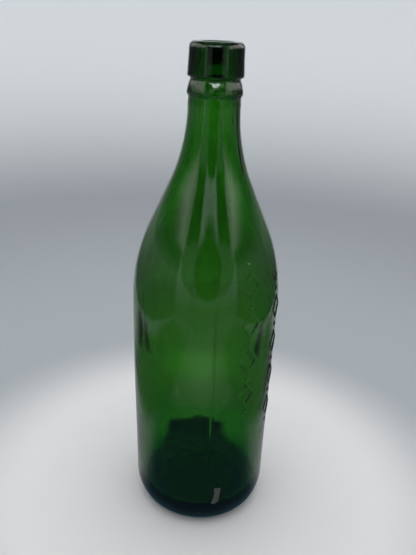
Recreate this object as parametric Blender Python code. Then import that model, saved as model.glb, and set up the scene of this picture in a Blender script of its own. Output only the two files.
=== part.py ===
# Round green glass bottle with a sloping shoulder, a ringed neck and a square band lip.
# Metres, +Z up. The origin is the centre of the foot, on the surface the bottle stands on.

from math import asin, atan2, cos, pi, radians, sin, tan

import bmesh
import bpy

MM = 0.001

# Whole bottle
HEIGHT = 278.6 * MM
SIDES = 60  # facets round the axis, a multiple of 4 so that the widths are exact

# Foot: a flat ring round a shallow push-up
PUSH_UP_HEIGHT = 5.0 * MM
FOOT_INNER_RADIUS = 26.5 * MM
FOOT_OUTER_RADIUS = 33.6 * MM

# Body: a rounded heel, then walls that widen slightly up to the shoulder
HEEL_RADIUS = 41.15 * MM
HEEL_HEIGHT = 16.5 * MM
HEEL_SPREAD = 0.45  # how far the heel runs out flat, as a share of its width
HEEL_LIFT = 0.06  # its rise there, as a share of its height
HEEL_UPRIGHT = 0.5  # where it turns upright, as a share of its height
BODY_RADIUS = 42.55 * MM
SHOULDER_START = 138.5 * MM
BODY_LOW_SHARE = 0.3  # share of the body over the heel that stays at the heel's width
BODY_HIGH_SHARE = 0.45  # share under the shoulder that stays at the body's width

# Shoulder: a long arc, a straight slope and a long flare into the neck
SHOULDER_ARC = 112.0 * MM
SHOULDER_SLOPE = radians(23.7)  # from upright
FLARE_ARC = 95.5 * MM
NECK_TAPER = radians(1.7)  # from upright
NECK_TOP = 252.3 * MM
NECK_TOP_RADIUS = 13.75 * MM

# Ring: a narrow collar, widest low down, whose skirt runs up into a cove
RING_RADIUS = 14.75 * MM
RING_WIDEST = 254.6 * MM
COVE_RADIUS = 13.15 * MM
COVE_HEIGHT = 259.6 * MM
RING_SKIRT = 1.6 * MM  # how far the ring keeps its width
COVE_SKIRT = 2.2 * MM  # how far below it the cove keeps its own

# Lip: a square band, a little wider at its foot
LIP_FOOT = 262.1 * MM
LIP_FOOT_RADIUS = 14.75 * MM
LIP_TOP_RADIUS = 14.15 * MM
LIP_ROUNDING = 2.9 * MM

# Hollow: the mouth and bore are narrow, and the walls thicken in the neck and towards the floor
MOUTH_RADIUS = 7.75 * MM
MOUTH_ROUNDING = 1.2 * MM
BORE_FOOT_RADIUS = 8.6 * MM
BORE_FOOT = 260.0 * MM
NECK_WALL = 3.8 * MM
NECK_WALL_HEIGHT = 238.3 * MM
SHOULDER_WALL = 3.7 * MM
SHOULDER_WALL_HEIGHT = 190.3 * MM
BODY_WALL = 2.8 * MM
BODY_WALL_HEIGHT = 118.5 * MM
LOWER_WALL = 4.0 * MM
LOWER_WALL_HEIGHT = 21.0 * MM
INNER_WALL_TOP = 244.3 * MM
FLOOR_CENTRE_HEIGHT = 13.0 * MM
FLOOR_LOW_HEIGHT = 11.5 * MM
FLOOR_LOW_RADIUS = 32.0 * MM
INNER_HEEL_RISE = 2.0 * MM  # handle of the inner heel's curve over the floor
INNER_HEEL_REACH = 3.5 * MM  # and the one along the floor

# Points along each curve of the section
LONG_STEPS = 6
SHORT_STEPS = 4
FLAT_STEPS = 3

SHARP_EDGE = radians(40)
MERGE_DISTANCE = 0.001 * MM
GLASS_COLOUR = (0.045, 0.12, 0.03, 1.0)
GLASS_ROUGHNESS = 0.06
GLASS_IOR = 1.52


def arc(centre, radius, start, end, steps):
    """Points on a circle in the profile plane, from one angle to another, both ends included."""
    turns = [start + (end - start) * step / steps for step in range(steps + 1)]
    return [(centre[0] + radius * cos(turn), centre[1] + radius * sin(turn)) for turn in turns]


def curve(first, first_handle, last_handle, last, steps):
    """Points on a cubic curve between two points, each with its handle, both ends included."""
    points = []
    for step in range(steps + 1):
        t = step / steps
        weights = ((1 - t) ** 3, 3 * t * (1 - t) ** 2, 3 * t * t * (1 - t), t**3)
        corners = (first, first_handle, last_handle, last)
        points.append(tuple(sum(w * c[i] for w, c in zip(weights, corners)) for i in (0, 1)))
    return points


def push_up():
    """The shallow dome under the bottle, from the axis to the foot."""
    radius = (FOOT_INNER_RADIUS**2 + PUSH_UP_HEIGHT**2) / (2 * PUSH_UP_HEIGHT)
    edge = asin(FOOT_INNER_RADIUS / radius)
    return arc((0, PUSH_UP_HEIGHT - radius), radius, pi / 2, pi / 2 - edge, FLAT_STEPS)


def heel_and_body():
    """From the foot's outer edge, round the heel and up the slightly widening body."""
    heel = curve(
        (FOOT_OUTER_RADIUS, 0),
        (FOOT_OUTER_RADIUS + HEEL_SPREAD * (HEEL_RADIUS - FOOT_OUTER_RADIUS), HEEL_LIFT * HEEL_HEIGHT),
        (HEEL_RADIUS, HEEL_UPRIGHT * HEEL_HEIGHT),
        (HEEL_RADIUS, HEEL_HEIGHT),
        LONG_STEPS,
    )
    rise = SHOULDER_START - HEEL_HEIGHT
    body = curve(
        (HEEL_RADIUS, HEEL_HEIGHT),
        (HEEL_RADIUS, HEEL_HEIGHT + BODY_LOW_SHARE * rise),
        (BODY_RADIUS, SHOULDER_START - BODY_HIGH_SHARE * rise),
        (BODY_RADIUS, SHOULDER_START),
        LONG_STEPS,
    )
    return heel + body[1:]


def shoulder_and_neck():
    """The shoulder's arc, its straight slope, the flare and the neck up to the ring."""
    arc_end_radius = BODY_RADIUS - SHOULDER_ARC * (1 - cos(SHOULDER_SLOPE))
    arc_end_height = SHOULDER_START + SHOULDER_ARC * sin(SHOULDER_SLOPE)
    flare_rise = FLARE_ARC * (sin(SHOULDER_SLOPE) - sin(NECK_TAPER))
    flare_fall = FLARE_ARC * (cos(NECK_TAPER) - cos(SHOULDER_SLOPE))
    # The straight slope is as long as it takes to bring the neck to its size at the ring.
    left_over = arc_end_radius - NECK_TOP_RADIUS - flare_fall
    left_over -= (NECK_TOP - arc_end_height - flare_rise) * tan(NECK_TAPER)
    slope_rise = left_over / (tan(SHOULDER_SLOPE) - tan(NECK_TAPER))
    flare_start = (arc_end_radius - slope_rise * tan(SHOULDER_SLOPE), arc_end_height + slope_rise)
    flare_centre = (
        flare_start[0] + FLARE_ARC * cos(SHOULDER_SLOPE),
        flare_start[1] + FLARE_ARC * sin(SHOULDER_SLOPE),
    )
    shoulder_centre = (BODY_RADIUS - SHOULDER_ARC, SHOULDER_START)
    shoulder = arc(shoulder_centre, SHOULDER_ARC, 0, SHOULDER_SLOPE, LONG_STEPS)
    flare = arc(flare_centre, FLARE_ARC, pi + SHOULDER_SLOPE, pi + NECK_TAPER, LONG_STEPS)
    return shoulder[1:] + flare + [(NECK_TOP_RADIUS, NECK_TOP)]


def ring_and_lip():
    """The collar, the cove over it, and the lip's band with its rounded top edge."""
    ring = curve(
        (RING_RADIUS, RING_WIDEST),
        (RING_RADIUS, RING_WIDEST + RING_SKIRT),
        (COVE_RADIUS, COVE_HEIGHT - COVE_SKIRT),
        (COVE_RADIUS, COVE_HEIGHT),
        SHORT_STEPS,
    )
    lip_corner = (LIP_TOP_RADIUS - LIP_ROUNDING, HEIGHT - LIP_ROUNDING)
    lip = arc(lip_corner, LIP_ROUNDING, 0, pi / 2, SHORT_STEPS)
    return ring + [(LIP_FOOT_RADIUS, LIP_FOOT)] + lip


def mouth_and_bore():
    """From the lip's top, over the mouth's edge and down the bore."""
    edge_centre = (MOUTH_RADIUS + MOUTH_ROUNDING, HEIGHT - MOUTH_ROUNDING)
    edge = arc(edge_centre, MOUTH_ROUNDING, pi / 2, pi, FLAT_STEPS)
    return edge + [(BORE_FOOT_RADIUS, BORE_FOOT)]


def wall_at(height):
    """Wall thickness at a height, blended smoothly between the named walls."""
    places = [
        (LOWER_WALL_HEIGHT, LOWER_WALL),
        (BODY_WALL_HEIGHT, BODY_WALL),
        (SHOULDER_WALL_HEIGHT, SHOULDER_WALL),
        (NECK_WALL_HEIGHT, NECK_WALL),
    ]
    height = min(max(height, places[0][0]), places[-1][0])
    for (low, low_wall), (high, high_wall) in zip(places, places[1:]):
        if height <= high:
            t = (height - low) / (high - low)
            return low_wall + (high_wall - low_wall) * t * t * (3 - 2 * t)
    return places[-1][1]


def inner_wall(outer):
    """The outer wall moved inwards by its thickness, from the neck down to the lower wall."""
    points = []
    for before, here, after in zip(outer, outer[1:], outer[2:]):
        if not LOWER_WALL_HEIGHT < here[1] < INNER_WALL_TOP:
            continue
        lean = atan2(before[0] - after[0], after[1] - before[1])
        wall = wall_at(here[1])
        points.append((here[0] - wall * cos(lean), here[1] - wall * sin(lean)))
    return points[::-1]


def hollow_floor():
    """The rounded inner heel and the floor, in to the axis."""
    side = (HEEL_RADIUS - LOWER_WALL, LOWER_WALL_HEIGHT)
    heel = curve(
        side,
        (side[0], FLOOR_LOW_HEIGHT + INNER_HEEL_RISE),
        (FLOOR_LOW_RADIUS + INNER_HEEL_REACH, FLOOR_LOW_HEIGHT),
        (FLOOR_LOW_RADIUS, FLOOR_LOW_HEIGHT),
        LONG_STEPS,
    )
    sag = FLOOR_CENTRE_HEIGHT - FLOOR_LOW_HEIGHT
    floor_radius = (FLOOR_LOW_RADIUS**2 + sag**2) / (2 * sag)
    tilt = asin(FLOOR_LOW_RADIUS / floor_radius)
    floor_centre = (0, FLOOR_CENTRE_HEIGHT - floor_radius)
    floor = arc(floor_centre, floor_radius, pi / 2 - tilt, pi / 2, FLAT_STEPS)
    return heel + floor[1:]


def profile():
    """The whole section from the axis under the bottle to the axis on its floor."""
    outside = heel_and_body() + shoulder_and_neck()
    outline = push_up() + outside + ring_and_lip()
    return outline + mouth_and_bore() + inner_wall(outside) + hollow_floor()


def glass_material():
    material = bpy.data.materials.new("green_glass")
    material.use_nodes = True
    shader = material.node_tree.nodes["Principled BSDF"]
    shader.inputs["Base Color"].default_value = GLASS_COLOUR
    shader.inputs["Roughness"].default_value = GLASS_ROUGHNESS
    shader.inputs["Metallic"].default_value = 0.0
    shader.inputs["IOR"].default_value = GLASS_IOR
    shader.inputs["Transmission Weight"].default_value = 1.0
    return material


def make_bottle():
    """Spins the section about +Z into one closed glass body."""
    form = bmesh.new()
    points = [form.verts.new((max(radius, 0.0), 0, height)) for radius, height in profile()]
    edges = [form.edges.new(pair) for pair in zip(points, points[1:])]
    bmesh.ops.spin(
        form,
        geom=points + edges,
        cent=(0, 0, 0),
        axis=(0, 0, 1),
        angle=2 * pi,
        steps=SIDES,
        use_merge=True,
    )
    bmesh.ops.remove_doubles(form, verts=form.verts, dist=MERGE_DISTANCE)
    bmesh.ops.recalc_face_normals(form, faces=form.faces)
    mesh = bpy.data.meshes.new("bottle")
    form.to_mesh(mesh)
    form.free()
    mesh.materials.append(glass_material())
    mesh.shade_smooth()
    mesh.set_sharp_from_angle(angle=SHARP_EDGE)
    bottle = bpy.data.objects.new("bottle", mesh)
    bpy.context.scene.collection.objects.link(bottle)
    return bottle


def main():
    for old in list(bpy.data.objects):
        bpy.data.objects.remove(old, do_unlink=True)
    make_bottle()


main()
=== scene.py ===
import bmesh
import bpy
from math import asin, atan2, cos, hypot, pi, radians, sin, tan
from mathutils import Matrix, Vector


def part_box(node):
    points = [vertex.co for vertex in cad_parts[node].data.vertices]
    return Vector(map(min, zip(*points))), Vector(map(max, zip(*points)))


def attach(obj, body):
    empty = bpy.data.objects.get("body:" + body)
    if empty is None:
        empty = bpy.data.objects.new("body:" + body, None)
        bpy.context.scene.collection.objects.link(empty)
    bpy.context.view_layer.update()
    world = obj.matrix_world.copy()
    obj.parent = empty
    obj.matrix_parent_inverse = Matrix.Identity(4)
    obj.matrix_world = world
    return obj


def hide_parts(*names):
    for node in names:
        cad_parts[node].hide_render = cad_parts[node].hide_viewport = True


mm = 0.001
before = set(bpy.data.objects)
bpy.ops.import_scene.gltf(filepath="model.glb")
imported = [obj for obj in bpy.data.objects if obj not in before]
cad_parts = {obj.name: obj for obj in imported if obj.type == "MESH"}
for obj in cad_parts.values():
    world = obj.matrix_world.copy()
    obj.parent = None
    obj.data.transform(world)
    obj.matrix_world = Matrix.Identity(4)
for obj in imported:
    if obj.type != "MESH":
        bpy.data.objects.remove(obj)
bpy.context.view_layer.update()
scene = bpy.context.scene
scene.view_settings.view_transform = "Standard"

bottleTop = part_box("bottle")[1]
bottleHeight = bottleTop[2] / mm
bodyRadius = bottleTop[0] / mm
print("frame loaded: bottle %.1f mm tall, %.1f mm across" % (bottleHeight, 2 * bodyRadius))


# camera, where the photograph was taken from

cameraSettings = {
    "place": (-6.5, -316.8, 289.0),  # mm, from the centre of the foot
    "pitch": 23.63,  # degrees below level
    "yaw": 1.36,  # degrees towards +X
    "roll": 2.52,  # degrees, so that the bottle leans right as it does in the photograph
    "lens": 38.5,  # mm
}


def makeCamera(settings):
    data = bpy.data.cameras.new("camera")
    data.lens = settings["lens"]
    data.clip_start = 0.01
    camera = bpy.data.objects.new("camera", data)
    scene.collection.objects.link(camera)
    turn = Matrix.Rotation(-radians(settings["yaw"]), 4, "Z")
    turn @= Matrix.Rotation(pi / 2 - radians(settings["pitch"]), 4, "X")
    turn @= Matrix.Rotation(radians(settings["roll"]), 4, "Z")
    camera.matrix_world = Matrix.Translation(Vector(settings["place"]) * mm) @ turn
    scene.camera = camera


makeCamera(cameraSettings)


# section of the bottle in mm: the outside runs from the axis under it up to the mouth,
# and the inside runs back down to the axis

section = {
    "pushUpHeight": 5.0,
    "footInner": 26.5,
    "footOuter": 33.6,
    "heelRadius": 41.15,
    "heelHeight": 16.5,
    "heelHandles": (0.45, 0.06, 0.5),  # shares of the heel's width and height
    "bodyHandles": (0.3, 0.45),  # shares of the body's height
    "shoulderStart": 138.5,
    "shoulderArc": 112.0,
    "shoulderSlope": 23.7,  # degrees from upright
    "flareArc": 95.5,
    "neckTaper": 1.7,  # degrees from upright
    "neckTop": 252.3,
    "neckTopRadius": 13.75,
    "ringRadius": 14.75,
    "ringWidest": 254.6,
    "ringFootHandles": (0.5, 0.2, 1.2),
    "ringSkirt": 2.6,
    "coveRadius": 13.15,
    "coveHeight": 260.9,
    "coveSkirt": 0.8,
    "coveHandles": (0.5, 0.7, 0.4),
    "lipFoot": 262.1,
    "lipFootRadius": 14.75,
    "lipTopRadius": 14.15,
    "lipRounding": 2.9,
    "mouthRadius": 7.75,
    "mouthRounding": 1.2,
    "boreFoot": 260.0,
    "boreHandles": (2.0, 0.4, 1.0),
    "innerWallTop": 244.3,  # above it the bore narrows to the mouth
    "neckWall": 3.8,
    "neckWallHeight": 238.3,
    "shoulderWall": 3.7,
    "shoulderWallHeight": 190.3,
    "bodyWall": 2.8,
    "bodyWallHeight": 118.5,
    "lowerWall": 4.0,
    "lowerWallHeight": 21.0,
    "floorCentre": 13.0,
    "floorLow": 11.5,
    "floorLowRadius": 32.0,
    "floorHandles": (2.0, 3.5, 0.3),
}

# up to each height, the distance between the rows of faces, both in mm
outerRows = [(20, 0.9), (56, 2.4), (176, 0.56), (250, 1.7), (280, 0.55)]
innerRows = [(26, 2.25), (275.6, 4.5), (280, 0.5)]
underFootRows = 3.0
fineStep = 0.12  # mm between the points that a section is first drawn with


def gapAt(table, place):
    return next(gap for reach, gap in table if place < reach)


def arc(centre, radius, start, end, step):
    count = max(2, round(abs(end - start) * radius / step))
    turns = [start + (end - start) * i / count for i in range(count + 1)]
    return [(centre[0] + radius * cos(t), centre[1] + radius * sin(t)) for t in turns]


def curve(first, firstHandle, lastHandle, last, step):
    count = max(3, round(hypot(last[0] - first[0], last[1] - first[1]) / step))
    points = []
    for i in range(count + 1):
        t = i / count
        weights = ((1 - t) ** 3, 3 * t * (1 - t) ** 2, 3 * t * t * (1 - t), t**3)
        corners = (first, firstHandle, lastHandle, last)
        points.append(tuple(sum(w * c[k] for w, c in zip(weights, corners)) for k in (0, 1)))
    return points


def line(first, last, step):
    count = max(1, round(hypot(last[0] - first[0], last[1] - first[1]) / step))
    return [tuple(a + (b - a) * i / count for a, b in zip(first, last)) for i in range(count + 1)]


def joined(*runs):
    points = []
    for run in runs:
        meets = points and hypot(run[0][0] - points[-1][0], run[0][1] - points[-1][1]) < 1e-6
        points += run[1:] if meets else run
    return points


def thinned(points, spacing):
    kept = [points[0]]
    for point in points[1:-1]:
        if hypot(point[0] - kept[-1][0], point[1] - kept[-1][1]) >= spacing(point):
            kept.append(point)
    return kept + [points[-1]]


def outerSection(s, bodyTop, top, step):
    half = s["footInner"]
    domeRadius = (half**2 + s["pushUpHeight"] ** 2) / (2 * s["pushUpHeight"])
    domeEdge = pi / 2 - asin(half / domeRadius)
    dome = arc((0, s["pushUpHeight"] - domeRadius), domeRadius, pi / 2, domeEdge, step)
    foot = line((half, 0), (s["footOuter"], 0), step)
    sideways, lowest, highest = s["heelHandles"]
    heel = curve(
        (s["footOuter"], 0),
        (s["footOuter"] + sideways * (s["heelRadius"] - s["footOuter"]), lowest * s["heelHeight"]),
        (s["heelRadius"], highest * s["heelHeight"]),
        (s["heelRadius"], s["heelHeight"]),
        step,
    )
    rise = s["shoulderStart"] - s["heelHeight"]
    lowest, highest = s["bodyHandles"]
    body = curve(
        (s["heelRadius"], s["heelHeight"]),
        (s["heelRadius"], s["heelHeight"] + lowest * rise),
        (bodyTop, s["shoulderStart"] - highest * rise),
        (bodyTop, s["shoulderStart"]),
        step,
    )
    slope, taper = radians(s["shoulderSlope"]), radians(s["neckTaper"])
    arcEnd = (
        bodyTop - s["shoulderArc"] * (1 - cos(slope)),
        s["shoulderStart"] + s["shoulderArc"] * sin(slope),
    )
    flareRise = s["flareArc"] * (sin(slope) - sin(taper))
    flareFall = s["flareArc"] * (cos(taper) - cos(slope))
    # the straight slope is as long as it takes to bring the neck to its size at the ring
    leftOver = arcEnd[0] - s["neckTopRadius"] - flareFall
    leftOver -= (s["neckTop"] - arcEnd[1] - flareRise) * tan(taper)
    slopeRise = leftOver / (tan(slope) - tan(taper))
    flareStart = (arcEnd[0] - slopeRise * tan(slope), arcEnd[1] + slopeRise)
    flareCentre = (
        flareStart[0] + s["flareArc"] * cos(slope),
        flareStart[1] + s["flareArc"] * sin(slope),
    )
    shoulder = arc((bodyTop - s["shoulderArc"], s["shoulderStart"]), s["shoulderArc"], 0, slope, step)
    straight = line(shoulder[-1], flareStart, step)
    flare = arc(flareCentre, s["flareArc"], pi + slope, pi + taper, step)
    neck = line(flare[-1], (s["neckTopRadius"], s["neckTop"]), step)
    sideways, lowest, highest = s["ringFootHandles"]
    ringFoot = curve(
        (s["neckTopRadius"], s["neckTop"]),
        (s["neckTopRadius"] + sideways, s["neckTop"] + lowest),
        (s["ringRadius"], s["ringWidest"] - highest),
        (s["ringRadius"], s["ringWidest"]),
        step,
    )
    ring = curve(
        (s["ringRadius"], s["ringWidest"]),
        (s["ringRadius"], s["ringWidest"] + s["ringSkirt"]),
        (s["coveRadius"], s["coveHeight"] - s["coveSkirt"]),
        (s["coveRadius"], s["coveHeight"]),
        step,
    )
    lowest, sideways, highest = s["coveHandles"]
    cove = curve(
        (s["coveRadius"], s["coveHeight"]),
        (s["coveRadius"], s["coveHeight"] + lowest),
        (s["lipFootRadius"] - sideways, s["lipFoot"] - highest),
        (s["lipFootRadius"], s["lipFoot"]),
        step,
    )
    lipSide = line((s["lipFootRadius"], s["lipFoot"]), (s["lipTopRadius"], top - s["lipRounding"]), step)
    lipCorner = (s["lipTopRadius"] - s["lipRounding"], top - s["lipRounding"])
    lipEdge = arc(lipCorner, s["lipRounding"], 0, pi / 2, step)
    upToNeck = joined(dome, foot, heel, body, shoulder, straight, flare, neck)
    return joined(upToNeck, ringFoot, ring, cove, lipSide, lipEdge)


def wallAt(s, height):
    places = [
        (s["lowerWallHeight"], s["lowerWall"]),
        (s["bodyWallHeight"], s["bodyWall"]),
        (s["shoulderWallHeight"], s["shoulderWall"]),
        (s["neckWallHeight"], s["neckWall"]),
    ]
    height = min(max(height, places[0][0]), places[-1][0])
    for (low, lowWall), (high, highWall) in zip(places, places[1:]):
        if height <= high:
            t = (height - low) / (high - low)
            return lowWall + (highWall - lowWall) * t * t * (3 - 2 * t)
    return places[-1][1]


def innerSection(s, outer, top, step):
    lipCorner = (s["mouthRadius"] + s["mouthRounding"], top - s["mouthRounding"])
    edge = arc(lipCorner, s["mouthRounding"], pi / 2, pi, step)
    wall = []
    for before, here, after in zip(outer, outer[1:], outer[2:]):
        if not s["lowerWallHeight"] < here[1] < s["innerWallTop"]:
            continue
        lean = atan2(before[0] - after[0], after[1] - before[1])
        thick = wallAt(s, here[1])
        wall.append((here[0] - thick * cos(lean), here[1] - thick * sin(lean)))
    wall = wall[::-1]
    highest, sideways, lowest = s["boreHandles"]
    bore = curve(
        (s["mouthRadius"], top - s["mouthRounding"]),
        (s["mouthRadius"], s["boreFoot"] + highest),
        (wall[0][0] - sideways, s["neckTop"] - lowest),
        wall[0],
        step,
    )
    highest, sideways, lowest = s["floorHandles"]
    heel = curve(
        wall[-1],
        (wall[-1][0], s["floorLow"] + highest),
        (s["floorLowRadius"] + sideways, s["floorLow"] - lowest),
        (s["floorLowRadius"], s["floorLow"]),
        step,
    )
    sag = s["floorCentre"] - s["floorLow"]
    floorRadius = (s["floorLowRadius"] ** 2 + sag**2) / (2 * sag)
    tilt = asin(s["floorLowRadius"] / floorRadius)
    floor = arc((0, s["floorCentre"] - floorRadius), floorRadius, pi / 2 - tilt, pi / 2, step)
    return joined(edge, bore, wall, heel, floor)


def outerSpacing(point):
    radius, height = point
    underFoot = radius < section["footOuter"] and height < section["pushUpHeight"] + 1
    return underFootRows if underFoot else gapAt(outerRows, height)


def innerSpacing(point):
    return gapAt(innerRows, point[1])


fineOuter = outerSection(section, bodyRadius, bottleHeight, fineStep)
fineInner = innerSection(section, fineOuter, bottleHeight, fineStep)
outerPoints = thinned(fineOuter, outerSpacing)
innerPoints = thinned(fineInner, innerSpacing)
print("section: %d points outside, %d inside" % (len(outerPoints), len(innerPoints)))


# glass, coloured by how far light goes through it

glassSettings = {
    "absorbs": (525.0, 246.0, 665.0),  # per metre, in red, green and blue
    "ior": 1.52,
    "ripple": 0.05,  # strength of the bump
    "rippleScale": 140.0,  # per metre
}


def nodeKit(tree):
    def add(kind, inputs=(), **settings):
        node = tree.nodes.new(kind)
        for key, value in settings.items():
            setattr(node, key, value)
        for slot, value in dict(inputs).items():
            if isinstance(value, bpy.types.NodeSocket):
                tree.links.new(value, node.inputs[slot])
            else:
                node.inputs[slot].default_value = value
        return node

    def calc(operation, *values):
        return add("ShaderNodeMath", dict(enumerate(values)), operation=operation).outputs[0]

    return add, calc


def makeGlass(settings):
    material = bpy.data.materials.new("greenGlass")
    material.use_nodes = True
    nodes, links = material.node_tree.nodes, material.node_tree.links
    add, _ = nodeKit(material.node_tree)
    shader = nodes["Principled BSDF"]
    shader.inputs["Base Color"].default_value = (1, 1, 1, 1)
    shader.inputs["Transmission Weight"].default_value = 1.0
    shader.inputs["IOR"].default_value = settings["ior"]
    shader.inputs["Roughness"].default_value = 0.0
    pattern = {"Vector": add("ShaderNodeTexCoord").outputs["Object"], "Scale": settings["rippleScale"]}
    ripples = add("ShaderNodeTexNoise", {**pattern, "Detail": 2.0}).outputs[0]
    bump = add("ShaderNodeBump", {"Strength": settings["ripple"], "Distance": 1 * mm, "Height": ripples})
    links.new(bump.outputs[0], shader.inputs["Normal"])
    density = max(settings["absorbs"]) * 1.05  # over the strongest, so that no part of the colour is 0
    volume = nodes.new("ShaderNodeVolumeAbsorption")
    volume.inputs["Density"].default_value = density
    volume.inputs["Color"].default_value = [1 - a / density for a in settings["absorbs"]] + [1]
    links.new(volume.outputs["Volume"], nodes["Material Output"].inputs["Volume"])
    return material


glass = makeGlass(glassSettings)


# glass shell: geometry nodes turn the section about the axis, raise the seams and the relief,
# and ripple the walls

shellSettings = {
    "Seam Height": 0.38 * mm,
    "Seam Width": 0.4 * mm,
    "Outer Wave": 0.06 * mm,
    "Ring Wave": 0.20 * mm,
    "Inner Wave": 0.30 * mm,
    "Neck Lines": 0.30 * mm,
    "Relief Height": 0.60 * mm,
    "Stroke": 0.62 * mm,  # half the width of a line of the relief
    "Bow": 0.60 * mm,
}

shellPlaces = {  # in mm; a band has a foot, a top and the distance over which it fades
    "seamFade": 2,
    "parting": 249,  # the seam that runs round the top of the neck
    "partingShare": 0.6,  # of a seam's height
    "ringBand": (255.5, 260, 1.5),
    "lineBand": (222, 251, 14),
    "linesHeldBack": 0.6,  # how much weaker the neck's lines are outside
    "fineWaveShare": 0.35,  # of the broad wave inside
    "calmAxis": 6,  # from this radius to the axis all waves fade out
    "calmFoot": (2, 8),  # and between these heights, outside, down to the foot
    "calmLip": (270, 277),  # and between these, up to the lip
    "bowMiddle": 150,  # height at which the body stands on the axis
    "bowReach": 130,  # distance from there at which it stands off by the whole bow
}

# how closely each wave is packed round the bottle and up it, then its scale, detail and seed
waves = {
    "innerBroad": (1.0, 22.0, 1.3, 1.0, 4.0),
    "innerFine": (1.0, 60.0, 3.0, 1.0, 9.0),
    "outer": (1.0, 40.0, 2.2, 2.0, 2.0),
    "ring": (5.0, 250.0, 1.0, 1.0, 3.0),
    "neckLines": (1.0, 6.0, 7.0, 1.0, 6.0),
}

# upright mould seams: degrees round from -Y towards +X, foot and top in mm
seams = [(7.5, 4, 150), (187.5, 4, 150), (59, 216, 249), (239, 216, 249)]

# upright bands of plain lozenges and beads: degrees round, foot and top in mm
reliefBands = [(35, 82, 172), (70, 62, 160)]
lozenge = {
    "pitch": 22.5,
    "halfWidth": 7.0,
    "halfHeight": 8.6,
    "line": 0.78,  # share of the half sizes at which its line runs
    "slant": 0.78,  # distance across that line for each mm sideways
    "bead": 1.7,
    "beadFlat": 0.4,  # share of the bead's radius that is level
    "fade": 0.5,
}

# thick places in the inner wall: degrees round, height, half width, half height and depth in mm
lumps = [(-66, 128, 7, 20, 0.5), (176, 20, 14, 7, 0.7)]

columnGaps = [(22, 1.8), (84, 0.58), (360, 2.6)]  # up to each angle, the degrees between columns of faces
seamColumn = 0.5  # degrees from a seam's own column to the ones beside it
seamClear = 0.65  # degrees beside a seam that are kept free of other columns


def columnTurns():
    turns, here = [], 0.0
    while here < 360:
        turns.append(here)
        here += gapAt(columnGaps, here)
    for seam, _, _ in seams:
        turns = [turn for turn in turns if abs(turn - seam) > seamClear]
        turns += [seam - seamColumn, seam, seam + seamColumn]
    return [radians(turn) for turn in sorted(turns)] + [2 * pi]


turns = columnTurns()


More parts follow.
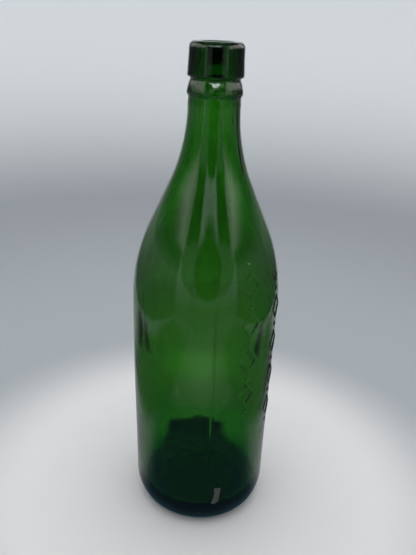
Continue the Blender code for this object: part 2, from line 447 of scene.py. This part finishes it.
def shellTree(material):
    tree = bpy.data.node_groups.new("bottleShell", "GeometryNodeTree")
    tree.interface.new_socket("Section", in_out="INPUT", socket_type="NodeSocketGeometry")
    for name in shellSettings:
        tree.interface.new_socket(name, in_out="INPUT", socket_type="NodeSocketFloat")
    tree.interface.new_socket("Shell", in_out="OUTPUT", socket_type="NodeSocketGeometry")
    add, calc = nodeKit(tree)
    given = add("NodeGroupInput").outputs

    def ramp(value, low, high):
        ends = {"Value": value, "From Min": low, "From Max": high}
        return add("ShaderNodeMapRange", ends, interpolation_type="SMOOTHSTEP").outputs[0]

    def total(*values):
        whole = values[0]
        for value in values[1:]:
            whole = calc("ADD", whole, value)
        return whole

    def times(*values):
        whole = values[0]
        for value in values[1:]:
            whole = calc("MULTIPLY", whole, value)
        return whole

    # rows follow the section, columns go round
    size = add("GeometryNodeAttributeDomainSize", {0: given["Section"]}, component="MESH")
    rows = size.outputs["Point Count"]
    flat = {"Size X": 1.0, "Size Y": 1.0, "Vertices X": len(turns), "Vertices Y": rows}
    grid = add("GeometryNodeMeshGrid", flat).outputs["Mesh"]
    spot = add("ShaderNodeSeparateXYZ", {0: add("GeometryNodeInputPosition").outputs[0]})
    row = calc("ROUND", times(calc("ADD", spot.outputs["Y"], 0.5), calc("SUBTRACT", rows, 1)))
    column = calc("ROUND", times(calc("ADD", spot.outputs["X"], 0.5), len(turns) - 1))

    def sampled(name, index):
        if name == "position":
            value = add("GeometryNodeInputPosition")
        else:
            value = add("GeometryNodeInputNamedAttribute", {"Name": name}, data_type="FLOAT_VECTOR")
        source = {"Geometry": given["Section"], "Value": value.outputs[0], "Index": index}
        point = add("GeometryNodeSampleIndex", source, data_type="FLOAT_VECTOR", domain="POINT")
        return add("ShaderNodeSeparateXYZ", {0: point.outputs[0]}).outputs

    radius, _, height = sampled("position", row)
    leanOut, outside, leanUp = sampled("outward", row)
    around = sampled("turn", column)[0]
    inside = calc("SUBTRACT", 1, outside)
    sine, cosine = calc("SINE", around), calc("COSINE", around)
    onCircle = add("ShaderNodeCombineXYZ", {"X": sine, "Y": calc("MULTIPLY", cosine, -1)}).outputs[0]
    upAxis = add("ShaderNodeCombineXYZ", {"Z": height}).outputs[0]

    def fromAngle(degrees):
        turned = calc("WRAP", calc("SUBTRACT", around, radians(degrees)), pi, -pi)
        return times(calc("ABSOLUTE", turned), radius)

    def band(low, high, fade):
        low, high, fade = low * mm, high * mm, fade * mm
        return calc("SUBTRACT", ramp(height, low - fade, low), ramp(height, high, high + fade))

    def ridge(away):
        return calc("SUBTRACT", 1, ramp(away, 0.0, given["Seam Width"]))

    def wave(name):
        across, climb, scale, detail, seed = waves[name]
        level = add("ShaderNodeVectorMath", {0: onCircle, "Scale": across}, operation="SCALE").outputs[0]
        rise = add("ShaderNodeVectorMath", {0: upAxis, "Scale": climb}, operation="SCALE").outputs[0]
        both = add("ShaderNodeVectorMath", {0: level, 1: rise}, operation="ADD").outputs[0]
        values = {"Vector": both, "W": seed, "Scale": scale, "Detail": detail}
        raw = add("ShaderNodeTexNoise", values, noise_dimensions="4D").outputs[0]
        return times(calc("SUBTRACT", raw, 0.5), 2)

    # mould seams
    lift = 0.0
    for degrees, foot, top in seams:
        upright = times(ridge(fromAngle(degrees)), band(foot, top, shellPlaces["seamFade"]))
        lift = total(lift, times(upright, given["Seam Height"]))
    fromParting = calc("ABSOLUTE", calc("SUBTRACT", height, shellPlaces["parting"] * mm))
    lift = total(lift, times(ridge(fromParting), given["Seam Height"], shellPlaces["partingShare"]))

    # lozenges, one over the other, with a bead between
    for degrees, foot, top in reliefBands:
        away = fromAngle(degrees)
        cell = calc("WRAP", calc("SUBTRACT", height, foot * mm), lozenge["pitch"] * mm, 0.0)
        fromMiddle = calc("ABSOLUTE", calc("SUBTRACT", cell, lozenge["pitch"] * mm / 2))
        across = calc("DIVIDE", away, lozenge["halfWidth"] * mm)
        over = calc("DIVIDE", fromMiddle, lozenge["halfHeight"] * mm)
        offLine = calc("ABSOLUTE", calc("SUBTRACT", calc("ADD", across, over), lozenge["line"]))
        offLine = calc("MULTIPLY", offLine, lozenge["halfWidth"] * mm * lozenge["slant"])
        outline = calc("SUBTRACT", 1, ramp(offLine, 0.0, given["Stroke"]))
        fromEnd = calc("SUBTRACT", lozenge["pitch"] * mm / 2, fromMiddle)
        fromBead = calc("SQRT", calc("ADD", times(away, away), times(fromEnd, fromEnd)))
        beadRadius = lozenge["bead"] * mm
        bead = calc("SUBTRACT", 1, ramp(fromBead, beadRadius * lozenge["beadFlat"], beadRadius))
        shape = times(calc("MAXIMUM", outline, bead), band(foot, top, lozenge["fade"]))
        lift = total(lift, times(shape, given["Relief Height"]))
    lift = times(lift, outside)

    # uneven walls, dimples on the ring, and lines drawn down the neck
    wavy = total(wave("innerBroad"), times(wave("innerFine"), shellPlaces["fineWaveShare"]))
    lift = total(lift, times(wavy, inside, given["Inner Wave"]))
    shallow = calc("SUBTRACT", wave("outer"), 1)
    lift = total(lift, times(shallow, outside, given["Outer Wave"]))
    dimples = calc("SUBTRACT", wave("ring"), 1)
    lift = total(lift, times(dimples, outside, band(*shellPlaces["ringBand"]), given["Ring Wave"]))
    drawn = times(wave("neckLines"), band(*shellPlaces["lineBand"]), given["Neck Lines"])
    lift = total(lift, times(drawn, calc("SUBTRACT", 1, times(outside, shellPlaces["linesHeldBack"]))))
    for degrees, middle, halfWidth, halfHeight, depth in lumps:
        across = calc("DIVIDE", fromAngle(degrees), halfWidth * mm)
        over = calc("DIVIDE", calc("SUBTRACT", height, middle * mm), halfHeight * mm)
        away = calc("SQRT", calc("ADD", times(across, across), times(over, over)))
        lift = total(lift, times(calc("SUBTRACT", 1, ramp(away, 0.0, 1.0)), inside, depth * mm))

    # all of it dies out at the axis, under the foot and at the top of the lip
    underLip = calc("SUBTRACT", 1, ramp(height, *[edge * mm for edge in shellPlaces["calmLip"]]))
    atFoot = calc("SUBTRACT", 1, ramp(height, *[edge * mm for edge in shellPlaces["calmFoot"]]))
    calm = times(ramp(radius, 0.0, shellPlaces["calmAxis"] * mm), underLip)
    lift = times(lift, times(calm, calc("SUBTRACT", 1, times(outside, atFoot))))
    far = calc("ADD", radius, times(leanOut, lift))
    high = calc("ADD", height, times(leanUp, lift))

    # the body is very slightly bowed, so both ends stand a little to +X of its middle
    fromMiddle = calc("SUBTRACT", height, shellPlaces["bowMiddle"] * mm)
    fromMiddle = calc("DIVIDE", fromMiddle, shellPlaces["bowReach"] * mm)
    bow = times(fromMiddle, fromMiddle, given["Bow"])
    turned = {"X": calc("ADD", times(far, sine), bow), "Y": times(far, cosine, -1), "Z": high}
    place = add("ShaderNodeCombineXYZ", turned).outputs[0]
    placed = add("GeometryNodeSetPosition", {"Geometry": grid, "Position": place}).outputs[0]
    closed = add("GeometryNodeMergeByDistance", {"Geometry": placed, "Distance": 1e-6}).outputs[0]
    finishTree(add, closed, material)
    return tree


def finishTree(add, geometry, material):
    real = add("GeometryNodeRealizeInstances", {"Geometry": geometry}).outputs[0]
    smooth = add("GeometryNodeSetShadeSmooth", {"Geometry": real}).outputs[0]
    painted = add("GeometryNodeSetMaterial", {"Geometry": smooth, "Material": material}).outputs[0]
    add("NodeGroupOutput", {0: painted})


def nodesToMesh(name, source, tree, settings):
    modifier = source.modifiers.new("shape", "NODES")
    modifier.node_group = tree
    for item in tree.interface.items_tree:
        if item.in_out == "INPUT" and item.name in settings:
            modifier[item.identifier] = settings[item.name]
    graph = bpy.context.evaluated_depsgraph_get()
    mesh = bpy.data.meshes.new_from_object(source.evaluated_get(graph))
    source.modifiers.clear()
    bpy.data.objects.remove(source, do_unlink=True)
    mesh.name = name
    piece = bpy.data.objects.new(name, mesh)
    scene.collection.objects.link(piece)
    return piece


def makeShell():
    points = outerPoints + innerPoints
    mesh = bpy.data.meshes.new("section")
    edges = [(i, i + 1) for i in range(len(points) - 1)]
    mesh.from_pydata([(r * mm, 0, z * mm) for r, z in points], edges, [])
    outward = mesh.attributes.new("outward", "FLOAT_VECTOR", "POINT")
    for i in range(len(points)):
        before, after = points[max(i - 1, 0)], points[min(i + 1, len(points) - 1)]
        run = hypot(after[0] - before[0], after[1] - before[1])
        isOutside = 1.0 if i < len(outerPoints) else 0.0
        outward.data[i].vector = ((after[1] - before[1]) / run, isOutside, (before[0] - after[0]) / run)
    turn = mesh.attributes.new("turn", "FLOAT_VECTOR", "POINT")
    for i, angle in enumerate(turns):
        turn.data[i].vector = (angle, 0, 0)
    source = bpy.data.objects.new("section", mesh)
    scene.collection.objects.link(source)
    return nodesToMesh("bottleGlass", source, shellTree(glass), shellSettings)


shell = makeShell()
print("shell: %d faces" % len(shell.data.polygons))
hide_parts("bottle")
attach(shell, "root")


# chip on the heel: a thin frosted scar

chipSettings = {
    "outline": [  # degrees round and height in mm, anticlockwise from the top left corner
        (12.2, 29.4), (12.4, 23.6), (11.2, 20.4), (10.2, 17.7),
        (12.8, 16.9), (16.4, 18.8), (17.2, 23.0), (18.3, 29.0),
    ],
    "lift": 0.02,  # mm the scar stands over the wall
    "thickness": 0.12,
    "step": 0.45,  # mm between its points
    "finish": {"roughness": 0.5, "light": (0.11, 0.105, 0.095), "dark": (0.03, 0.045, 0.03)},
}
frostSettings = {"scale": 900.0, "bump": 0.6, "depth": 0.3 * mm}  # grain of broken and of scuffed glass


def outerRadius(height):
    for (r0, z0), (r1, z1) in zip(fineOuter, fineOuter[1:]):
        if r0 > section["footOuter"] and z0 <= height <= z1:
            return r0 + (r1 - r0) * (height - z0) / max(z1 - z0, 1e-9)
    return bodyRadius


def onWall(degrees, height, lift):
    radius = outerRadius(height) + lift
    fromMiddle = (height - shellPlaces["bowMiddle"]) / shellPlaces["bowReach"]
    bow = fromMiddle**2 * shellSettings["Bow"] / mm
    turn = radians(degrees)
    return Vector((radius * sin(turn) + bow, -radius * cos(turn), height)) * mm


def frostMaterial(name, roughness, light, dark):
    material = bpy.data.materials.new(name)
    material.use_nodes = True
    links = material.node_tree.links
    add, _ = nodeKit(material.node_tree)
    shader = material.node_tree.nodes["Principled BSDF"]
    shader.inputs["Roughness"].default_value = roughness
    shader.inputs["IOR"].default_value = glassSettings["ior"]
    pattern = {"Vector": add("ShaderNodeTexCoord").outputs["Object"], "Scale": frostSettings["scale"]}
    grain = add("ShaderNodeTexNoise", {**pattern, "Detail": 3.0}).outputs[0]
    tones = add("ShaderNodeMix", {"Factor": grain, "A": (*dark, 1), "B": (*light, 1)}, data_type="RGBA")
    links.new(tones.outputs["Result"], shader.inputs["Base Color"])
    rough = {"Strength": frostSettings["bump"], "Distance": frostSettings["depth"], "Height": grain}
    bump = add("ShaderNodeBump", rough)
    links.new(bump.outputs[0], shader.inputs["Normal"])
    return material


def makeChip(settings):
    outline = settings["outline"]
    form = bmesh.new()
    rings = []
    for lift in (settings["lift"] - settings["thickness"], settings["lift"]):
        ring = []
        for (a, z), (b, y) in zip(outline, outline[1:] + outline[:1]):
            run = hypot(radians(b - a) * bodyRadius, y - z)
            count = max(1, round(run / settings["step"]))
            for i in range(count):
                spot = onWall(a + (b - a) * i / count, z + (y - z) * i / count, lift)
                ring.append(form.verts.new(spot))
        rings.append(ring)
    inner, outer = rings
    form.faces.new(outer)
    form.faces.new(inner[::-1])
    for i in range(len(outer)):
        j = (i + 1) % len(outer)
        form.faces.new((inner[i], inner[j], outer[j], outer[i]))
    bmesh.ops.recalc_face_normals(form, faces=form.faces)
    bmesh.ops.triangulate(form, faces=form.faces)
    mesh = bpy.data.meshes.new("heelChip")
    form.to_mesh(mesh)
    form.free()
    mesh.materials.append(frostMaterial("chipScar", **settings["finish"]))
    chip = bpy.data.objects.new("heelChip", mesh)
    scene.collection.objects.link(chip)
    print("chip: %d faces" % len(mesh.polygons))
    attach(chip, "root")


makeChip(chipSettings)


# scuffs: fine pale nicks on the heel and the widest part of the body, where bottles knock together

scuffSettings = {
    "Density": 6500.0,  # per square metre
    "Length": 0.7 * mm,
    "Width": 0.09 * mm,
    "Depth": 0.04 * mm,
}
scuffBands = [(9.0, 21.0), (122.0, 140.0)]  # mm
scuffShares = (0.3, 1.6)  # the shortest and the longest nick, as shares of the length
scuffFinish = {"roughness": 0.45, "light": (0.3, 0.32, 0.3), "dark": (0.14, 0.18, 0.14)}


def scuffTree(material):
    tree = bpy.data.node_groups.new("scuffs", "GeometryNodeTree")
    tree.interface.new_socket("Bands", in_out="INPUT", socket_type="NodeSocketGeometry")
    for name in scuffSettings:
        tree.interface.new_socket(name, in_out="INPUT", socket_type="NodeSocketFloat")
    tree.interface.new_socket("Scuffs", in_out="OUTPUT", socket_type="NodeSocketGeometry")
    add, calc = nodeKit(tree)
    given = add("NodeGroupInput").outputs

    def chance(low, high, seed):
        span = {"Min": low, "Max": high, "Seed": seed}
        return add("FunctionNodeRandomValue", span, data_type="FLOAT").outputs["Value"]

    spread = {"Mesh": given["Bands"], "Density": given["Density"], "Seed": 7}
    points = add("GeometryNodeDistributePointsOnFaces", spread, distribute_method="RANDOM").outputs
    nick = add("GeometryNodeMeshIcoSphere", {"Radius": 0.5, "Subdivisions": 1}).outputs["Mesh"]
    spin = chance(0.0, 2 * pi, 3)
    share = chance(*scuffShares, 5)
    size = {"X": calc("MULTIPLY", given["Length"], share), "Y": given["Width"], "Z": given["Depth"]}
    scale = add("ShaderNodeCombineXYZ", size).outputs[0]
    own = add("ShaderNodeCombineXYZ", {"Z": spin}).outputs[0]
    turn = {"Rotation": points["Rotation"], "Rotate By": own}
    turned = add("FunctionNodeRotateRotation", turn, rotation_space="LOCAL").outputs[0]
    place = {"Points": points["Points"], "Instance": nick, "Rotation": turned, "Scale": scale}
    nicks = add("GeometryNodeInstanceOnPoints", place).outputs[0]
    finishTree(add, nicks, material)
    return tree


def facesRound(first, rows, columns):
    faces = []
    for row in range(rows):
        here, over = first + row * columns, first + (row + 1) * columns
        for i in range(columns):
            j = (i + 1) % columns
            faces.append((here + i, here + j, over + j, over + i))
    return faces


def makeScuffs(settings):
    points, faces = [], []
    rows, columns = 8, 120  # faces up and round each band
    for low, high in scuffBands:
        faces += facesRound(len(points), rows, columns)
        for row in range(rows + 1):
            height = low + (high - low) * row / rows
            points += [onWall(360 * i / columns, height, 0.0) for i in range(columns)]
    mesh = bpy.data.meshes.new("scuffBands")
    mesh.from_pydata(points, [], faces)
    source = bpy.data.objects.new("scuffBands", mesh)
    scene.collection.objects.link(source)
    material = frostMaterial("scuffedGlass", **scuffFinish)
    scuffs = nodesToMesh("scuffMarks", source, scuffTree(material), settings)
    print("scuffs: %d faces" % len(scuffs.data.polygons))
    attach(scuffs, "root")


makeScuffs(scuffSettings)


# studio: a pale paper bowl all round, its colour carrying painted light and shade, soft light, and
# glowing cards that only the glass sees: painted reflections and painted light and shade behind it that
# light nothing

studioSettings = {
    "floorRings": (0.0, 0.2, 0.4),  # m, like the sizes below
    "floorRadius": 0.62,  # where the paper starts to curve up
    "floorHeight": -0.0002,  # just under the foot
    "curveRadius": 0.5,
    "curveStep": 0.03,
    "wallTop": 1.5,
    "columns": 96,
    "paperReach": 1.2,  # distance from the bottle at which the tones below end
    "paperPaintedLight": [  # share of the reach, and the paper's colour there, with painted light and shade in it: a soft pool of light round the bottle, painted shade further out and on the curve, and lighter again up the wall where the light falls
        (0.095, (0.79, 0.765, 0.755)),
        (0.17, (0.41, 0.43, 0.445)),
        (0.55, (0.34, 0.355, 0.37)),
        (0.92, (0.85, 0.86, 0.87)),
    ],
    "skyColour": (0.93, 0.97, 1.0),
    "skyStrength": 0.98,
}


def makePaper(s):
    material = bpy.data.materials.new("paperWithPaintedLight")
    material.use_nodes = True
    add, calc = nodeKit(material.node_tree)
    shader = material.node_tree.nodes["Principled BSDF"]
    shader.inputs["Roughness"].default_value = 0.9
    shader.inputs["Specular IOR Level"].default_value = 0.1
    place = add("ShaderNodeTexCoord").outputs["Object"]
    flat = add("ShaderNodeVectorMath", {0: place, 1: (1, 1, 0)}, operation="MULTIPLY").outputs[0]
    away = add("ShaderNodeVectorMath", {0: flat}, operation="LENGTH").outputs["Value"]
    # the paper's colour carries painted light and shade, set by distance from the bottle
    tones = add("ShaderNodeValToRGB", {0: calc("DIVIDE", away, s["paperReach"])})
    ramp = tones.color_ramp
    ramp.interpolation = "EASE"
    while len(ramp.elements) < len(s["paperPaintedLight"]):
        ramp.elements.new(0.5)
    for element, (position, colour) in zip(ramp.elements, s["paperPaintedLight"]):
        element.position = position
        element.color = (*colour, 1)
    material.node_tree.links.new(tones.outputs["Color"], shader.inputs["Base Color"])
    return material


def makeStudio(s):
    rim = [(radius, 0.0) for radius in s["floorRings"]]
    rim += arc((s["floorRadius"], s["curveRadius"]), s["curveRadius"], -pi / 2, 0, s["curveStep"])
    rim.append((s["floorRadius"] + s["curveRadius"], s["wallTop"]))
    points = []
    for r, z in rim:
        for i in range(s["columns"]):
            turn = 2 * pi * i / s["columns"]
            points.append((r * cos(turn), r * sin(turn), z + s["floorHeight"]))
    mesh = bpy.data.meshes.new("studioFloor")
    mesh.from_pydata(points, [], facesRound(0, len(rim) - 1, s["columns"]))
    mesh.validate()
    mesh.shade_smooth()
    mesh.materials.append(makePaper(s))
    floor = bpy.data.objects.new("studioFloor", mesh)
    scene.collection.objects.link(floor)
    world = bpy.data.worlds.new("studio")
    scene.world = world
    world.use_nodes = True
    sky = world.node_tree.nodes["Background"]
    sky.inputs["Color"].default_value = (*s["skyColour"], 1)
    sky.inputs["Strength"].default_value = s["skyStrength"]


lightSettings = {
    "place": (0.0, 0.05, 1.25),
    "target": (0, 0, 0),
    "size": 0.9,
    "watts": 4,
}


def makeLight(name, s):
    data = bpy.data.lights.new(name, "AREA")
    data.shape = "RECTANGLE"
    data.size = data.size_y = s["size"]
    data.energy = s["watts"]
    light = bpy.data.objects.new(name, data)
    light.location = s["place"]
    towards = Vector(s["target"]) - Vector(s["place"])
    light.rotation_euler = towards.to_track_quat("-Z", "Y").to_euler()
    light.visible_camera = False
    light.visible_transmission = False
    scene.collection.objects.link(light)


white, warm, teal = (0.93, 0.98, 1.0), (0.97, 1.0, 0.9), (0.34, 0.75, 0.95)

# corner and two edges in m, glow at the foot and at the top, and the share of the card that fades out
mirroredCards = {  # seen only as reflections on the glass: glowing cards that light nothing and cast no shadow, painted reflections
    "cardLeft": ((-0.29, -0.29, 0.0), (0, 0.75, 0), (0, 0, 0.2), (0.12, 0.45), 0.0),
    "cardRight": ((0.29, -0.29, 0.0), (0, 0.75, 0), (0, 0, 0.2), (0.08, 0.34), 0.0),
    "cardLeftNeck": ((-0.29, -0.29, 0.2), (0, 0.75, 0), (0, 0, 0.045), (0.26, 0.12), 0.0),
    "cardRightNeck": ((0.29, -0.29, 0.2), (0, 0.75, 0), (0, 0, 0.045), (0.26, 0.12), 0.0),
    "cardLeftOver": ((-0.29, -0.29, 0.245), (0, 0.75, 0), (0, 0, 0.57), (0.1, 0.1), 0.0),
    "cardRightOver": ((0.29, -0.29, 0.245), (0, 0.75, 0), (0, 0, 0.57), (0.1, 0.1), 0.0),
    "cardLeftHigh": ((-0.285, -0.38, 0.27), (0, 0.78, 0), (0, 0, 0.34), (1.7, 1.7), 0.55),
    "cardRightHigh": ((0.285, -0.38, 0.27), (0, 0.78, 0), (0, 0, 0.34), (2.0, 2.0), 0.55),
    "cardRoom": ((-0.9, -0.8, 0.0), (1.8, 0, 0), (0, 0, 0.62), (0.25, 0.25), 0.0),
    "cardRoomFloor": ((-0.9, -0.8, 0.001), (1.8, 0, 0), (0, 0.6, 0), (0.24, 0.24), 0.0),
    "cardFloorFront": ((-0.5, -0.30, 0.0012), (1.0, 0, 0), (0, 0.16, 0), (0.3, 0.3), 0.1),
    "cardFloorLeft": ((-0.27, -0.29, 0.0014), (0.17, 0, 0), (0, 0.48, 0), (0.10, 0.10), 0.4),
    "cardFloorRight": ((0.10, -0.29, 0.0014), (0.17, 0, 0), (0, 0.48, 0), (0.12, 0.12), 0.4),
    "cardFloorBeside": ((-0.3, -0.12, 0.0010), (0.6, 0, 0), (0, 0.42, 0), (0.4, 0.4), 0.3),
    # a soft round dark teal spot on the floor in front of the bottle, seen only in reflection: a painted
    # shadow of the bottle
    "cardNearShadow": ((-0.165, -0.17, 0.0016), (0.33, 0, 0), (0, 0.18, 0), (0.13, 0.13), 0.35),
    "cardFloorGlow": ((-0.11, -0.255, 0.002), (0.22, 0, 0), (0, 0.11, 0), (0.5, 0.5), 0.8),
    "cardDark": ((-0.4, -0.42, 0.38), (0.8, 0, 0), (0, 0, 0.5), (0.02, 0.02), 0.1),
    "cardCamera": ((-0.16, -0.40, 0.07), (0.34, 0, 0), (0, 0, 0.36), (0.01, 0.01), 0.25),
    "cardLamp": ((-0.15, -0.41, 0.34), (0.30, 0, 0), (0, 0, 0.5), (1.1, 1.1), 0.3),
    "cardStrip": ((-0.24, -0.38, 0.485), (0.48, 0, 0), (0, 0, 0.045), (9.0, 9.0), 0.2),
    "cardStripHigh": ((-0.32, -0.38, 0.57), (0.64, 0, 0), (0, 0, 0.06), (9.0, 9.0), 0.1),
    "cardOver": ((-0.6, -0.6, 0.9), (1.2, 0, 0), (0, 1.36, 0), (0.05, 0.05), 0.1),
    "cardOverBar": ((-0.5, 0.10, 0.89), (1.0, 0, 0), (0, 0.07, 0), (2.2, 2.2), 0.2),
}
throughCards = {  # seen only through the glass: glowing cards that light nothing and cast no shadow, painted light and shade behind it
    # a near-black card just behind the lip, seen only through it, darkens the lip's middle: painted shade
    "cardLipShade": ((-0.013, 0.03, 0.265), (0.026, 0, 0), (0, 0, 0.0125), (0.005, 0.005), 0.3),
    "cardBackLeft": ((-0.4, 0.45, 0.02), (0.36, 0, 0), (0, 0, 0.4), (0.72, 0.56), 0.4),
    "cardBackRight": ((0.04, 0.45, 0.02), (0.36, 0, 0), (0, 0, 0.4), (0.72, 0.56), 0.4),
    "cardBehind": ((-0.14, 0.045, 0.001), (0.28, 0, 0), (0, 0.32, 0), (0.42, 0.28), 0.3),
    "cardBright": ((-0.055, 0.10, 0.0011), (0.11, 0, 0), (0, 0.085, 0), (0.58, 0.58), 0.7),
    "cardPatch": ((-0.031, 0.028, 0.0013), (0.056, 0, 0), (0, 0.038, 0), (0.01, 0.01), 0.3),
}
roundCards = ("cardNearShadow", "cardCamera", "cardBright")
cardColours = {  # all others are white
    "cardLeftHigh": warm,
    "cardRightHigh": warm,
    "cardBackLeft": warm,
    "cardBackRight": warm,
    "cardBright": warm,
    "cardNearShadow": teal,
}

postSettings = {  # m
    "count": 8,
    "away": 0.55,
    "width": 0.06,
    "height": 0.9,
    "near": 0.16,  # where the spokes start
    "backReach": 0.11,  # length and width of the two spokes behind the bottle
    "backWidth": 0.016,
    "spokeHeight": 0.0012,
    "glow": 0.005,
    "soft": 0.3,
}


def makeCard(name, corner, along, up, levels, soft, isRound, colour, seen):
    corner, along, up = Vector(corner), Vector(along), Vector(up)
    mesh = bpy.data.meshes.new(name)
    mesh.from_pydata([corner, corner + along, corner + along + up, corner + up], [], [(0, 1, 2, 3)])
    mesh.uv_layers.new(name="UVMap")
    for loop, spot in zip(mesh.uv_layers[0].data, ((0, 0), (1, 0), (1, 1), (0, 1))):
        loop.uv = spot
    material = bpy.data.materials.new(name)
    material.use_nodes = True
    tree = material.node_tree
    tree.nodes.clear()
    add, calc = nodeKit(tree)
    place = add("ShaderNodeSeparateXYZ", {0: add("ShaderNodeTexCoord").outputs["UV"]})
    rise = calc("MULTIPLY", calc("POWER", place.outputs[1], 2), levels[1] - levels[0])
    light = {"Color": (*colour, 1), "Strength": calc("ADD", rise, levels[0])}
    glow = add("ShaderNodeEmission", light).outputs[0]
    if soft:
        across = calc("ABSOLUTE", calc("SUBTRACT", calc("MULTIPLY", place.outputs[0], 2), 1))
        over = calc("ABSOLUTE", calc("SUBTRACT", calc("MULTIPLY", place.outputs[1], 2), 1))
        if isRound:
            away = calc("SQRT", calc("ADD", calc("POWER", across, 2), calc("POWER", over, 2)))
        else:
            away = calc("MAXIMUM", across, over)
        edge = {"Value": away, "From Min": 1 - soft, "From Max": 1.0, "To Min": 1.0, "To Max": 0.0}
        mask = add("ShaderNodeMapRange", edge, interpolation_type="SMOOTHSTEP").outputs[0]
        clear = add("ShaderNodeBsdfTransparent").outputs[0]
        glow = add("ShaderNodeMixShader", {0: mask, 1: clear, 2: glow}).outputs[0]
    add("ShaderNodeOutputMaterial", {"Surface": glow})
    mesh.materials.append(material)
    card = bpy.data.objects.new(name, mesh)
    scene.collection.objects.link(card)
    card.visible_camera = False
    card.visible_diffuse = False
    card.visible_glossy = seen == "mirrored"
    card.visible_transmission = seen == "through"
    card.visible_shadow = False


def makePosts(s):
    look = ((s["glow"], s["glow"]), s["soft"], False, white, "through")
    for i in range(s["count"]):
        turn = 2 * pi * (i + 0.5) / s["count"]
        outward, sideways = Vector((sin(turn), cos(turn), 0)), Vector((cos(turn), -sin(turn), 0))
        corner = outward * s["away"] - sideways * s["width"] / 2
        makeCard("post%d" % i, corner, sideways * s["width"], (0, 0, s["height"]), *look)
        behind = i in (0, s["count"] - 1)
        reach = s["backReach"] if behind else s["away"] - s["near"]
        width = s["backWidth"] if behind else s["width"]
        corner = outward * s["near"] - sideways * width / 2 + Vector((0, 0, s["spokeHeight"]))
        makeCard("spoke%d" % i, corner, sideways * width, outward * reach, *look)


makeStudio(studioSettings)
makeLight("lightAbove", lightSettings)
for seen, cards in (("mirrored", mirroredCards), ("through", throughCards)):
    for name, card in cards.items():
        makeCard(name, *card, name in roundCards, cardColours.get(name, white), seen)

# dark posts all round, each with a spoke on the floor, seen only through the glass, draw its edges; they
# are near-black glowing cards that light nothing, painted dark lines
makePosts(postSettings)
print("studio: %d cards, %d posts" % (len(mirroredCards) + len(throughCards), postSettings["count"]))
